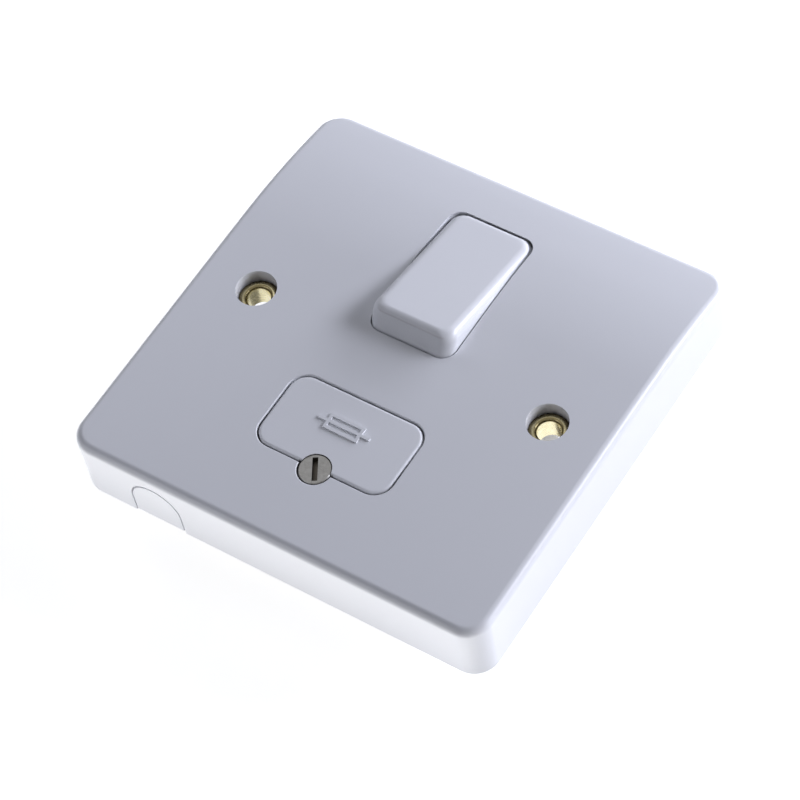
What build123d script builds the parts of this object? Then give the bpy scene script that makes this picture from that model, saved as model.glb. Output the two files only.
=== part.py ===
from build123d import *
import os
from math import asin, cos, radians, sin, sqrt

# A switched fused connection unit for a single-gang wall box, lying face up.
# Millimetres. Z = 0 is the wall, +Z faces the room and +Y is up the wall.
# X = Y = 0 is midway between the two fixing holes.

# Front plate: a hollow white moulding whose face falls away towards its top edge.
plate_width = 84.3
plate_height = 84.3
plate_depth = 13.4
plate_corner_radius = 4.7
plate_edge_radius = 1.6
face_wall = 2.8
side_wall = 2.4
curve_length = 28.95
curve_radius = 123.0
opening_edge_radius = 0.2

# Knock-out in the plate's lower wall for a flexible cord.
knockout_margin = 17.85
knockout_radius = 5.1
knockout_top = 10.0
knockout_groove_width = 0.35
knockout_groove_depth = 0.6
knockout_rise = 0.6

# Fixing holes, each lined by a short brass eyelet with a domed lip.
fixing_centres = 60.3
recess_radius = 3.75
recess_depth = 3.3
boss_wall = 1.6
eyelet_bore_radius = 2.15
eyelet_wall = 0.4
eyelet_crown = 0.65
eyelet_crown_height = 0.85
eyelet_edge_height = 0.45
eyelet_grip = 3.4
eyelet_foot_width = 0.8
eyelet_foot = 0.5

# Rocker and the opening it swings in.
rocker_opening_width = 17.4
rocker_opening_length = 29.8
rocker_margin = 10.0
rocker_gap = 0.25
rocker_corner_radius = 2.5
rocker_edge_radius = 2.0
rocker_end_radius = 1.0
rocker_steps = 10
rocker_wall = 1.6
rocker_height = 6.6
rocker_skirt = 2.2
rocker_throw_angle = 17.8
rocker_off_angle = 11.5
pivot_depth = 5.0
trunnion_radius = 1.5
trunnion_length = 2.3
ear_thickness = 2.2
ear_half_width = 4.0

# Spring plungers that flip the two moving contacts.
pole_spacing = 8.8
plunger_reach = 13.5
plunger_radius = 1.75
plunger_tip_radius = 1.3
plunger_tip_length = 3.0
plunger_length = 12.5
tube_wall = 0.75
tube_drop = 4.0
spring_wire = 0.45
spring_turns = 5

# Moving contacts, rocked in notched ears, and the silver buttons they carry.
contact_throw_angle = 16.0
contact_thickness = 0.8
contact_width = 4.4
contact_reach = 10.5
contact_overhang = 1.7
valley_angle = 37.0
nib_length = 1.6
nib_overhang = 1.3
notch_clearance = 0.5
button_radius = 1.5
button_height = 0.6
button_rim = 0.3

# Brass strips, terminals and their screws.
strip_thickness = 0.8
terminal_width = 6.7
terminal_length = 8.0
terminal_bore_radius = 2.0
terminal_bore_depth = 7.0
terminal_chamfer = 0.3
terminal_screw_radius = 1.6
terminal_head_radius = 2.6
terminal_head_height = 2.0
terminal_overlap = 1.0
earth_terminal_length = 13.0
earth_terminal_top = 0.5
earth_bore_depth = 5.7
earth_strap_width = 7.0

# Fuse, its spring clips and its carrier.
fuse_length = 25.4
fuse_radius = 3.175
fuse_cap_length = 6.2
fuse_cap_wall = 0.35
fuse_head_room = 1.0
clip_width = 5.0
clip_thickness = 0.6
clip_flare = 0.9
clip_end_gap = 0.6
carrier_width = 26.95
carrier_height = 15.55
carrier_margin = 15.725
carrier_corner_radius = 3.45
carrier_edge_radius = 0.6
carrier_gap = 0.25
cradle_length = 11.0
cradle_wall = 0.95
cradle_lip = 1.8
sign_length = 10.4
sign_body_length = 7.0
sign_height = 3.2
sign_line = 0.55
sign_relief = 0.3
sign_rise = 1.3

# Screw that holds the carrier, half in the carrier and half in the plate.
screw_head_radius = 2.95
screw_head_height = 2.2
screw_sink = 0.15
screw_shank_radius = 1.7
screw_length = 9.5
screw_slot_width = 1.0
screw_slot_length = 4.7
screw_slot_depth = 1.1
screw_slot_angle = 121.0
screw_head_gap = 0.2
screw_tab_wall = 0.05
screw_tab_thickness = 2.2
insert_radius = 2.4
insert_length = 6.0

# Rear base: a tub that holds the terminals and the switch.
base_wall = 1.8
base_floor = 2.6
base_rim = 2.6
base_corner_radius = 2.5
base_rib = 1.2
shelf_thickness = 1.8
wire_window = 5.0
base_screw_x = 27.3
base_screw_y = 24.0
base_screw_radius = 1.45
base_screw_length = 7.0
base_screw_head_radius = 2.7
base_screw_head_height = 1.8
base_ear_radius = 3.5
base_ear_thickness = 3.0
barrier_thickness = 1.4

# Cord clamp behind the knock-out.
cord_space = 7.5
clamp_length = 18.4
clamp_width = 4.4
clamp_thickness = 1.8
clamp_screw_spacing = 14.0
clamp_boss_radius = 2.6

# Clearances shared by pieces that fit together.
fit_clearance = 0.05
seat_clearance = 0.1
slide_clearance = 0.25

# Places worked out from the sizes above.
face_centre_z = plate_depth - curve_radius
curve_start = plate_height / 2 - curve_length
underside_z = plate_depth - face_wall
fixing_x = fixing_centres / 2
boss_radius = recess_radius + boss_wall
recess_floor_z = plate_depth - recess_depth
eyelet_radius = eyelet_bore_radius + eyelet_wall

pivot_z = plate_depth - pivot_depth
opening_high_y = plate_height / 2 - rocker_margin
opening_low_y = opening_high_y - rocker_opening_length
face_at_opening_high = face_centre_z + sqrt(curve_radius**2 - max(opening_high_y - curve_start, 0) ** 2)
high_pivot_depth = face_at_opening_high - pivot_z
rocker_span = rocker_opening_length - 2 * rocker_gap
low_half_span = (rocker_span - (pivot_depth**2 - high_pivot_depth**2) / rocker_span) / 2
rocker_radius = sqrt(low_half_span**2 + pivot_depth**2)
pivot_y = opening_low_y + rocker_gap + low_half_span
rocker_half_width = rocker_opening_width / 2 - rocker_gap
half_throw = rocker_throw_angle / 2
neutral_tilt = rocker_off_angle - half_throw
bearing_radius = trunnion_radius + fit_clearance

pole_x = pole_spacing / 2
contact_half_throw = contact_throw_angle / 2
rock_depth = plunger_reach + fit_clearance + contact_thickness
rock_z = pivot_z - rock_depth
tip_centre = plunger_reach - plunger_tip_radius
tip_offset = plunger_tip_radius + fit_clearance
tip_y = -tip_centre * sin(radians(half_throw))
tip_z = rock_depth - tip_centre * cos(radians(half_throw))
tip_along = -tip_y * sin(radians(contact_half_throw)) + tip_z * cos(radians(contact_half_throw))
tip_square = tip_y**2 + tip_z**2
valley_top = tip_offset**2 - contact_thickness**2 + 2 * contact_thickness * tip_along - tip_square
valley_radius = valley_top / (2 * (contact_thickness + tip_offset - tip_along))
valley_depth = valley_radius * (1 - cos(radians(valley_angle)))
valley_half = valley_radius * sin(radians(valley_angle))
wing_z = valley_depth
outer_radius = valley_radius + contact_thickness
outer_half = sqrt(outer_radius**2 - (outer_radius - wing_z) ** 2)

dome_sag = button_height - button_rim
dome_radius = (button_radius**2 + dome_sag**2) / (2 * dome_sag)
dome_centre = wing_z - button_height + dome_radius
shut_turn = radians(contact_half_throw)
shut_y = pivot_y + contact_reach * cos(shut_turn) + dome_centre * sin(shut_turn)
shut_z = rock_z - contact_reach * sin(shut_turn) + dome_centre * cos(shut_turn) - dome_radius
strip_top = shut_z - fit_clearance - button_height
floor_z = strip_top - strip_thickness
base_bottom = floor_z - base_floor

carrier_y = carrier_margin + (carrier_height - plate_height) / 2
fuse_z = underside_z - fuse_head_room - fuse_radius
clip_floor_z = fuse_z - fuse_radius - seat_clearance
shelf_strip_top = clip_floor_z - clip_thickness
shelf_z = shelf_strip_top - strip_thickness
clip_x = fuse_length / 2 - clip_end_gap - clip_width / 2
clip_half_gap = fuse_radius + seat_clearance
well_half_x = fuse_length / 2 + clip_end_gap
well_half_y = carrier_height / 2 + carrier_gap + slide_clearance
box_half_x = well_half_x + base_rib
box_half_y = well_half_y + base_rib
box_top = underside_z - seat_clearance
carrier_low_y = carrier_y - carrier_height / 2 - carrier_gap / 2
carrier_top_z = plate_depth
screw_head_z = plate_depth - screw_sink - screw_head_height
screw_tab_radius = screw_head_radius + screw_tab_wall
screw_tab_low = screw_head_z - screw_tab_thickness
screw_hole_radius = screw_shank_radius + slide_clearance
insert_top = screw_tab_low - slide_clearance
screw_boss_radius = insert_radius + base_rib

terminal_x = box_half_x + slide_clearance + terminal_width / 2
base_inner_x = terminal_x + terminal_width / 2 + seat_clearance
base_outer_x = base_inner_x + base_wall
terminal_top_y = shut_y - terminal_overlap + terminal_length / 2
terminal_low_y = carrier_low_y + 2 * terminal_overlap - terminal_length / 2
base_inner_top = terminal_top_y + terminal_length / 2 + seat_clearance
base_inner_low = terminal_low_y - terminal_length / 2 - seat_clearance
base_outer_top = base_inner_top + base_wall
base_outer_low = base_inner_low - base_wall
terminal_bore_z = (strip_top + shelf_z) / 2
grip_z = recess_floor_z - eyelet_grip
foot_z = grip_z - eyelet_foot
strap_high = grip_z + strip_thickness
knockout_x = knockout_margin - plate_width / 2
earth_bore_z = (floor_z + earth_terminal_top) / 2
earth_bore_y = earth_terminal_length / 4
clamp_y = -plate_height / 2 + side_wall + clamp_width / 2 + slide_clearance
clamp_top = underside_z - cord_space
clamp_low = clamp_top - clamp_thickness


def block(x0, x1, y0, y1, z0, z1):
    """A box between two corners."""
    centre = Pos((x0 + x1) / 2, (y0 + y1) / 2, (z0 + z1) / 2)
    return centre * Box(x1 - x0, y1 - y0, z1 - z0)


def rod(x, y, z0, z1, radius):
    """A round bar along Z."""
    return Pos(x, y, (z0 + z1) / 2) * Cylinder(radius, z1 - z0)


def cross_rod(x0, x1, y, z, radius):
    """A round bar along X."""
    return Pos((x0 + x1) / 2, y, z) * Rot(0, 90, 0) * Cylinder(radius, x1 - x0)


def long_rod(x, y0, y1, z, radius):
    """A round bar along Y."""
    return Pos(x, (y0 + y1) / 2, z) * Rot(90, 0, 0) * Cylinder(radius, y1 - y0)


def turned(points, x, y, z):
    """A turned piece: a closed radius and height outline spun about a vertical axis."""
    outline = make_face(Polyline(*points, close=True))
    return Pos(x, y, z) * revolve(Plane.XZ * outline, Axis.Z)


def pan_screw(x, y, seat_z, radius, length, head_radius, head_height):
    """A slotted pan-head screw driven towards the room, its head seated at seat_z."""
    shank = rod(x, y, seat_z, seat_z + length, radius)
    head = rod(x, y, seat_z - head_height, seat_z, head_radius)
    head = fillet(head.edges().sort_by(Axis.Z)[0], head_height / 3)
    slot = Pos(x, y, seat_z - head_height) * Box(2 * head_radius, 2 * radius / 3, head_height)
    return shank + head - slot


def plate_section(side_inset, face_inset):
    """Side view of the plate: flat over its lower part, then a long arc down to the top edge."""
    half = plate_height / 2 - side_inset
    radius = curve_radius - face_inset
    flat_z = plate_depth - face_inset
    sweep_angle = asin((half - curve_start) / radius)
    middle = (curve_start + radius * sin(sweep_angle / 2), face_centre_z + radius * cos(sweep_angle / 2))
    end = (half, face_centre_z + radius * cos(sweep_angle))
    outline = [
        Line((-half, 0), (half, 0)),
        Line((half, 0), end),
        ThreePointArc(end, middle, (curve_start, flat_z)),
        Line((curve_start, flat_z), (-half, flat_z)),
        Line((-half, flat_z), (-half, 0)),
    ]
    return Plane.YZ * make_face(outline)


def underside_at(y):
    """Height of the underside of the plate's face at one distance up the plate."""
    past = max(y - curve_start, 0)
    return face_centre_z + sqrt((curve_radius - face_wall) ** 2 - past**2)


def swing_form(radius, half_width, low, high, corner):
    """A block with round ends struck from the pivot, which is at the origin."""
    form = cross_rod(-half_width, half_width, 0, 0, radius)
    form = form & block(-half_width, half_width, -radius, radius, low, high)
    return fillet(form.edges().filter_by(GeomType.CIRCLE), corner)


def arch(radius):
    """Outline of the knock-out on the plate's lower wall: a round top on straight sides."""
    straight = knockout_top - knockout_radius
    top = Pos(0, straight) * Circle(radius)
    return top + Pos(0, straight / 2) * Rectangle(2 * radius, straight)


def carrier_outline(grow):
    """Outline of the fuse carrier, grown by a gap all round."""
    width = carrier_width + 2 * grow
    height = carrier_height + 2 * grow
    return Pos(0, carrier_y) * RectangleRounded(width, height, carrier_corner_radius + grow)


def front_plate():
    """Hollow moulding with the fixing bosses, screw bosses and rocker bearings on its back."""
    shell = extrude(plate_section(0, 0), plate_width / 2, both=True)
    shell = fillet(shell.edges().filter_by(Axis.Z), plate_corner_radius)
    rim = shell.edges().filter_by(lambda e: e.center().Z > 0.6 * plate_depth)
    crease = rim.filter_by(lambda e: abs(e.center().Y - curve_start) < 0.01 and abs(e.center().X) < 0.01)
    shell = fillet([e for e in rim if e not in crease], plate_edge_radius)
    hollow = extrude(plate_section(side_wall, face_wall), plate_width / 2 - side_wall, both=True)
    hollow = fillet(hollow.edges().filter_by(Axis.Z), plate_corner_radius - side_wall)
    shell -= hollow

    skin = plate_depth - face_wall / 2
    for side, foot in ((-1, grip_z), (1, strap_high)):
        shell += rod(side * fixing_x, 0, foot, skin, boss_radius)
    for x in (-base_screw_x, base_screw_x):
        for y in (-base_screw_y, base_screw_y):
            top = underside_at(y - base_ear_radius) + face_wall / 4
            shell += rod(x, y, base_rim, top, base_ear_radius)
            shell -= rod(x, y, base_rim, base_rim + base_screw_length, base_screw_radius + fit_clearance)
    for side in (-1, 1):
        x = knockout_x + side * clamp_screw_spacing / 2
        shell += rod(x, clamp_y, clamp_top, skin, clamp_boss_radius)
        hole_top = clamp_low + base_screw_length
        shell -= rod(x, clamp_y, clamp_top, hole_top, base_screw_radius + fit_clearance)
        inner = rocker_opening_width / 2
        ear = sorted((side * inner, side * (inner + ear_thickness)))
        ear_y = (pivot_y - ear_half_width, pivot_y + ear_half_width)
        ear_low = pivot_z - trunnion_radius - slide_clearance
        shell += block(*ear, *ear_y, ear_low, underside_z + face_wall / 4)
        shell -= cross_rod(*ear, pivot_y, pivot_z, bearing_radius)
        shell -= block(*ear, pivot_y - bearing_radius, pivot_y + bearing_radius, ear_low, pivot_z)

    opening_radius = rocker_radius + rocker_gap
    opening_corner = rocker_corner_radius + rocker_gap
    opening_top = pivot_depth + face_wall
    openings = swing_form(opening_radius, rocker_opening_width / 2, 0, opening_top, opening_corner)
    openings = Pos(0, pivot_y, pivot_z) * openings
    screw_notch = Pos(0, carrier_low_y) * Circle(screw_tab_radius + screw_head_gap)
    carrier_hole = carrier_outline(carrier_gap) + screw_notch
    openings += extrude(Pos(0, 0, underside_z - face_wall) * carrier_hole, 2 * face_wall)
    for side in (-1, 1):
        openings += rod(side * fixing_x, 0, recess_floor_z, plate_depth + face_wall, recess_radius)
        openings += rod(side * fixing_x, 0, 0, recess_floor_z, eyelet_radius + fit_clearance)
    shell -= openings

    wall_y = -plate_height / 2
    half_groove = knockout_groove_width / 2
    groove = arch(knockout_radius + half_groove) - arch(knockout_radius - half_groove)
    face_plane = Plane((knockout_x, wall_y, 0), x_dir=(1, 0, 0), z_dir=(0, -1, 0))
    shell -= extrude(face_plane * groove, -knockout_groove_depth)
    rise_x = (knockout_x - knockout_radius, knockout_x + knockout_radius)
    shell -= block(*rise_x, wall_y, wall_y + side_wall, 0, knockout_rise)

    def opening_edge(edge):
        middle = edge.center()
        near_carrier = abs(middle.X) < carrier_width and carrier_y - carrier_height < middle.Y < 0
        near_fixing = abs(abs(middle.X) - fixing_x) < recess_radius and abs(middle.Y) < recess_radius
        return abs(middle.Z - plate_depth) < 0.01 and (near_carrier or near_fixing)

    return fillet(shell.edges().filter_by(opening_edge), opening_edge_radius)


def eyelet(side):
    """Pressed brass eyelet: a domed lip in the recess, a tube, and a foot rolled over at the back."""
    edge = recess_radius - seat_clearance
    crest = eyelet_bore_radius + eyelet_crown
    crest_z = recess_floor_z + eyelet_crown_height
    mouth = (eyelet_bore_radius, crest_z - eyelet_crown)
    rim = (edge, recess_floor_z + eyelet_edge_height)
    back = [
        rim,
        (edge, recess_floor_z),
        (edge - eyelet_wall, recess_floor_z),
        (crest, crest_z - eyelet_wall),
        (eyelet_radius, crest_z - eyelet_crown),
        (eyelet_radius, grip_z),
        (eyelet_radius + eyelet_foot_width, grip_z),
        (eyelet_radius + eyelet_foot_width, foot_z),
        (eyelet_bore_radius, foot_z),
        mouth,
    ]
    outline = Polyline(*back)
    outline += TangentArc(mouth, (crest, crest_z), tangent=(0, 1))
    outline += TangentArc((crest, crest_z), rim, tangent=(1, 0))
    return Pos(side * fixing_x, 0, 0) * revolve(Plane.XZ * make_face(outline), Axis.Z)


def rocker():
    """Hollow rocker with round ends, two trunnions and two plunger tubes, turned to its OFF position."""
    form = rocker_form()
    inner = rocker_half_width - rocker_wall
    tube_top = rocker_height - rocker_wall
    inner_corner = rocker_corner_radius - rocker_wall
    hollow = swing_form(rocker_radius - rocker_wall, inner, -2 * rocker_skirt, tube_top, inner_corner)
    cap = Rot(-neutral_tilt, 0, 0) * (form - hollow)
    bore = plunger_radius + seat_clearance
    for x in (-pole_x, pole_x):
        tube = rod(x, 0, -tube_drop, tube_top + rocker_wall / 2, bore + tube_wall)
        cap = cap + tube - rod(x, 0, -tube_drop, tube_top - rocker_wall / 2, bore)
    for side in (-1, 1):
        span = sorted((side * inner, side * (rocker_half_width + trunnion_length)))
        cap += cross_rod(*span, 0, 0, trunnion_radius)
    return at_pivot(cap)


def rocker_form():
    """Outside of the rocker: round ends struck from the pivot, edges broad along its sides, tight at its ends."""
    crown_z = rocker_height - rocker_edge_radius
    outlines = []
    for step in range(rocker_steps):
        z = -rocker_skirt + (crown_z + rocker_skirt) * step / rocker_steps
        outlines.append(rocker_outline(z, 0, 0))
    for step in range(rocker_steps + 1):
        turn = radians(90 * step / rocker_steps)
        drop = rocker_edge_radius * (1 - sin(turn))
        side_inset = rocker_edge_radius * (1 - cos(turn))
        end_rise = rocker_end_radius - min(drop, rocker_end_radius)
        end_inset = rocker_end_radius - sqrt(rocker_end_radius**2 - end_rise**2)
        outlines.append(rocker_outline(rocker_height - drop, side_inset, end_inset))
    return loft(outlines, ruled=True)


def rocker_outline(z, side_inset, end_inset):
    """Outline of the rocker at one height, drawn in from its side walls and from its round ends."""
    width = 2 * (rocker_half_width - side_inset)
    length = 2 * (sqrt(rocker_radius**2 - z**2) - end_inset)
    return Pos(0, 0, z) * RectangleRounded(width, length, rocker_corner_radius - end_inset)


def at_pivot(piece):
    """Places a piece that is modelled about the pivot, turned to OFF."""
    return Pos(0, pivot_y, pivot_z) * Rot(-half_throw, 0, 0) * piece


def plunger(x):
    """Nylon plunger with a reduced, round-nosed tip."""
    top = plunger_length - plunger_reach
    tip_top = plunger_tip_length - plunger_reach
    body = rod(x, 0, tip_top, top, plunger_radius)
    body = chamfer(body.edges().sort_by(Axis.Z)[0], plunger_radius - plunger_tip_radius)
    nose = rod(x, 0, -tip_centre, tip_top, plunger_tip_radius)
    nose += Pos(x, 0, -tip_centre) * Sphere(plunger_tip_radius)
    return at_pivot(body + nose)


def spring(x):
    """Coil spring between a plunger and the end of its tube."""
    low = plunger_length - plunger_reach + spring_wire / 2
    high = rocker_height - 1.5 * rocker_wall - spring_wire / 2
    coil_radius = plunger_radius - spring_wire / 2
    path = Helix((high - low) / spring_turns, high - low, coil_radius, center=(x, 0, low))
    wire = Plane(path @ 0, z_dir=path % 0) * RegularPolygon(spring_wire / 2, 6)
    return at_pivot(sweep(wire, path=path, is_frenet=True))


def moving_contact(x):
    """Phosphor bronze strip with a pressed valley at its middle and two nibs, its rear end down."""
    end = contact_reach + contact_overhang
    top = wing_z + contact_thickness
    outline = [
        Line((-end, top), (-valley_half, top)),
        ThreePointArc((-valley_half, top), (0, contact_thickness), (valley_half, top)),
        Line((valley_half, top), (end, top)),
        Line((end, top), (end, wing_z)),
        Line((end, wing_z), (outer_half, wing_z)),
        ThreePointArc((outer_half, wing_z), (0, 0), (-outer_half, wing_z)),
        Line((-outer_half, wing_z), (-end, wing_z)),
        Line((-end, wing_z), (-end, top)),
    ]
    section = make_face(outline)
    nib = section & Rectangle(nib_length, 4 * contact_thickness)
    strip = extrude(Plane.YZ * section, contact_width / 2, both=True)
    strip += extrude(Plane.YZ * nib, contact_width / 2 + nib_overhang, both=True)
    return at_rock(x, strip)


def at_rock(x, piece):
    """Places a piece that is modelled about a contact's rocking edge, turned to OFF."""
    return Pos(x, pivot_y, rock_z) * Rot(contact_half_throw, 0, 0) * piece


def button(x, y, z):
    """Silver contact button with a domed face, its back at z."""
    outline = [
        Line((0, 0), (button_radius, 0)),
        Line((button_radius, 0), (button_radius, button_rim)),
        RadiusArc((button_radius, button_rim), (0, button_height), -dome_radius),
        Line((0, button_height), (0, 0)),
    ]
    return Pos(x, y, z) * revolve(Plane.XZ * make_face(outline), Axis.Z)


def moving_button(x):
    """Silver button on the underside of a moving contact's front end."""
    return at_rock(x, Pos(0, contact_reach, wing_z) * Rot(180, 0, 0) * button(0, 0, 0))


def fixed_contact(side):
    """Brass strip from under a moving contact to a foot that the supply terminal stands on."""
    outer = terminal_x + terminal_width / 2
    half = button_radius + terminal_overlap
    foot_top = terminal_top_y + terminal_length / 2
    strip = block(pole_x - contact_width / 2, outer, shut_y - half, shut_y + half, floor_z, strip_top)
    strip += block(outer - terminal_width, outer, shut_y - half, foot_top, floor_z, strip_top)
    strip -= rod(terminal_x, terminal_top_y, floor_z, strip_top, terminal_screw_radius + slide_clearance)
    return strip if side > 0 else mirror(strip, Plane.YZ)


def saddle(x):
    """The part of a pivot strip under a moving contact: a foot with two notched ears."""
    inner = contact_width / 2 + slide_clearance
    outer = inner + strip_thickness
    half_y = nib_length / 2 + notch_clearance + strip_thickness
    notch_floor = rock_z - seat_clearance
    ear_top = rock_z + wing_z
    piece = block(x - outer, x + outer, pivot_y - half_y, pivot_y + half_y, floor_z, strip_top)
    notch_half = nib_length / 2 + notch_clearance
    for side in (-1, 1):
        ear = sorted((x + side * inner, x + side * outer))
        piece += block(*ear, pivot_y - half_y, pivot_y + half_y, floor_z, ear_top)
        piece -= block(*ear, pivot_y - notch_half, pivot_y + notch_half, notch_floor, ear_top)
    return piece


def line_pivot_strip():
    """Bent brass strip from the line contact's saddle up to the supply end of the fuse."""
    half = contact_width / 2
    riser_y = carrier_y + box_half_y + seat_clearance
    strip = saddle(pole_x)
    strip += block(pole_x - half, pole_x + half, riser_y, pivot_y, floor_z, strip_top)
    outer = clip_x + clip_width / 2
    strip += block(pole_x - half, outer, riser_y, riser_y + strip_thickness, floor_z, shelf_strip_top)
    far = carrier_y - clip_half_gap
    strip += block(clip_x - clip_width / 2, outer, far, riser_y + strip_thickness, shelf_z, shelf_strip_top)
    return strip


def neutral_pivot_strip():
    """Flat brass strip from the neutral contact's saddle, under the fuse, to the neutral load terminal."""
    half = contact_width / 2
    low = base_inner_low + seat_clearance
    high = carrier_y - box_half_y - seat_clearance
    outer = terminal_x + terminal_width / 2
    foot_half = terminal_length / 2
    strip = saddle(-pole_x)
    strip += block(-pole_x - half, -pole_x + half, low, pivot_y, floor_z, strip_top)
    strip += block(-pole_x - half, terminal_x, low, high, floor_z, strip_top)
    foot_y = (terminal_low_y - foot_half, terminal_low_y + foot_half)
    strip += block(outer - terminal_width, outer, *foot_y, floor_z, strip_top)
    return strip - rod(terminal_x, terminal_low_y, floor_z, strip_top, terminal_screw_radius + slide_clearance)


def load_strip():
    """Flat brass strip from the load end of the fuse to the top of the line load terminal."""
    inner = -clip_x + clip_width / 2
    outer = -terminal_x - terminal_width / 4
    near = carrier_y + clip_half_gap
    strip = block(outer, inner, carrier_y - clip_half_gap, near, shelf_z, shelf_strip_top)
    foot_x = (outer, -box_half_x - slide_clearance)
    return strip + block(*foot_x, terminal_low_y, near, shelf_z, shelf_strip_top)


def terminal_screw_hole(x, y, radius):
    """Way for a terminal screw through the base floor and into a terminal."""
    return rod(x, y, base_bottom, terminal_bore_z, radius)


def terminal(x, y, outward):
    """Brass pillar terminal: a wire bore open at the outer end and a tapped hole from behind."""
    half_x = terminal_width / 2
    half_y = terminal_length / 2
    piece = block(x - half_x, x + half_x, y - half_y, y + half_y, strip_top, shelf_z)
    piece = chamfer(piece.edges().filter_by(Axis.Y), terminal_chamfer)
    mouth = y + outward * half_y
    bore = sorted((mouth, mouth - outward * terminal_bore_depth))
    piece -= long_rod(x, *bore, terminal_bore_z, terminal_bore_radius)
    return piece - terminal_screw_hole(x, y, terminal_screw_radius + fit_clearance)


def earth_terminal():
    """Brass earth block with a wire bore and a tapped hole for each of two earth wires."""
    half_x = terminal_width / 2
    half_y = earth_terminal_length / 2
    piece = block(terminal_x - half_x, terminal_x + half_x, -half_y, half_y, floor_z, earth_terminal_top)
    mouth = terminal_x + half_x
    for y in (-earth_bore_y, earth_bore_y):
        piece -= cross_rod(mouth - earth_bore_depth, mouth, y, earth_bore_z, terminal_bore_radius)
        piece -= rod(terminal_x, y, floor_z, earth_bore_z, terminal_screw_radius + fit_clearance)
    return piece


def earth_strap():
    """Stepped brass strap from the earth block up to the right fixing hole, whose eyelet clamps it."""
    half = earth_strap_width / 2
    outer = terminal_x + terminal_width / 2
    riser = outer - strip_thickness
    foot_top = earth_terminal_top + strip_thickness
    strap = block(terminal_x - terminal_width / 2, outer, -half, half, earth_terminal_top, foot_top)
    strap += block(riser, outer, -half, half, earth_terminal_top, strap_high)
    strap += block(riser, fixing_x, -half, half, grip_z, strap_high)
    strap += rod(fixing_x, 0, grip_z, strap_high, boss_radius)
    return strap - rod(fixing_x, 0, grip_z, strap_high, eyelet_radius + fit_clearance)


def terminal_screws():
    """Slotted brass screws, backed off clear of the wire bores."""
    screws = Part()
    length = terminal_bore_z - terminal_bore_radius - floor_z
    places = [(x, y) for x in (-terminal_x, terminal_x) for y in (terminal_low_y, terminal_top_y)]
    earth_length = earth_bore_z - terminal_bore_radius - floor_z
    for x, y in places:
        screws += terminal_screw(x, y, length)
    for y in (-earth_bore_y, earth_bore_y):
        screws += terminal_screw(terminal_x, y, earth_length)
    return screws


def terminal_screw(x, y, length):
    """One terminal screw, with its head sunk in the base floor."""
    seat = floor_z - seat_clearance
    return pan_screw(x, y, seat, terminal_screw_radius, length, terminal_head_radius, terminal_head_height)


def fuse_clip(x):
    """Sprung bronze channel that grips a fuse cap between two straight leaves with flared lips."""
    inner = clip_half_gap
    outer = inner + clip_thickness
    lip_z = underside_z - fuse_head_room
    bend_z = lip_z - 1.5 * clip_flare
    points = [
        (-outer, shelf_strip_top),
        (outer, shelf_strip_top),
        (outer, bend_z),
        (outer + clip_flare, lip_z),
        (inner + clip_flare, lip_z),
        (inner, bend_z),
        (inner, clip_floor_z),
        (-inner, clip_floor_z),
        (-inner, bend_z),
        (-inner - clip_flare, lip_z),
        (-outer - clip_flare, lip_z),
        (-outer, bend_z),
    ]
    section = make_face(Polyline(*points, close=True))
    return Pos(x, carrier_y, 0) * extrude(Plane.YZ * section, clip_width / 2, both=True)


def fuse_carrier():
    """White carrier: a flush cover, a snap cradle for the fuse and a tab under the screw head."""
    cover = extrude(Pos(0, 0, underside_z) * carrier_outline(0), face_wall)
    cover = fillet(cover.edges().group_by(Axis.Z)[-1], carrier_edge_radius)
    half = fuse_radius + fit_clearance + cradle_wall
    low = fuse_z - cradle_lip
    half_x = cradle_length / 2
    cradle = block(-half_x, half_x, carrier_y - half, carrier_y + half, low, underside_z)
    cradle -= cross_rod(-half_x, half_x, carrier_y, fuse_z, fuse_radius + fit_clearance)
    tab = rod(0, carrier_low_y, screw_tab_low, screw_head_z, screw_tab_radius)
    head_way = rod(0, carrier_low_y, screw_head_z, carrier_top_z, screw_tab_radius)
    shank_way = rod(0, carrier_low_y, screw_tab_low, carrier_top_z, screw_hole_radius)
    return cover + cradle + tab - head_way - shank_way + fuse_sign()


def fuse_sign():
    """Raised fuse symbol on the cover: a narrow frame with a line through it."""
    frame = Rectangle(sign_body_length, sign_height)
    frame -= Rectangle(sign_body_length - 2 * sign_line, sign_height - 2 * sign_line)
    frame += Rectangle(sign_length, sign_line)
    return extrude(Pos(0, carrier_y + sign_rise, carrier_top_z) * frame, sign_relief)


def carrier_screw():
    """Nickelled screw with a flat head and a closed slot, captive in the carrier."""
    head_top = screw_head_z + screw_head_height
    head = rod(0, carrier_low_y, screw_head_z + fit_clearance, head_top, screw_head_radius)
    head = chamfer(head.edges().sort_by(Axis.Z)[-1], screw_sink)
    shank_low = head_top - screw_length
    shank = rod(0, carrier_low_y, shank_low, screw_head_z + fit_clearance, screw_shank_radius)
    shank = chamfer(shank.edges().sort_by(Axis.Z)[0], screw_shank_radius / 4)
    slot = Pos(0, carrier_low_y, head_top - screw_slot_depth / 2) * Rot(0, 0, screw_slot_angle)
    return head + shank - slot * Box(screw_slot_length, screw_slot_width, screw_slot_depth)


def carrier_insert():
    """Tapped brass insert in the base that takes the carrier screw."""
    insert_low = insert_top - insert_length
    body = rod(0, carrier_low_y, insert_low, insert_top, insert_radius)
    return body - rod(0, carrier_low_y, insert_low, insert_top, screw_shank_radius + fit_clearance)


def fuse_barrel():
    """Ceramic tube of the cartridge fuse, reduced at both ends for its caps."""
    half = fuse_length / 2 - fuse_cap_wall
    middle = fuse_length / 2 - fuse_cap_length
    barrel = cross_rod(-middle, middle, carrier_y, fuse_z, fuse_radius - fuse_cap_wall / 2)
    return barrel + cross_rod(-half, half, carrier_y, fuse_z, fuse_radius - fuse_cap_wall)


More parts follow.
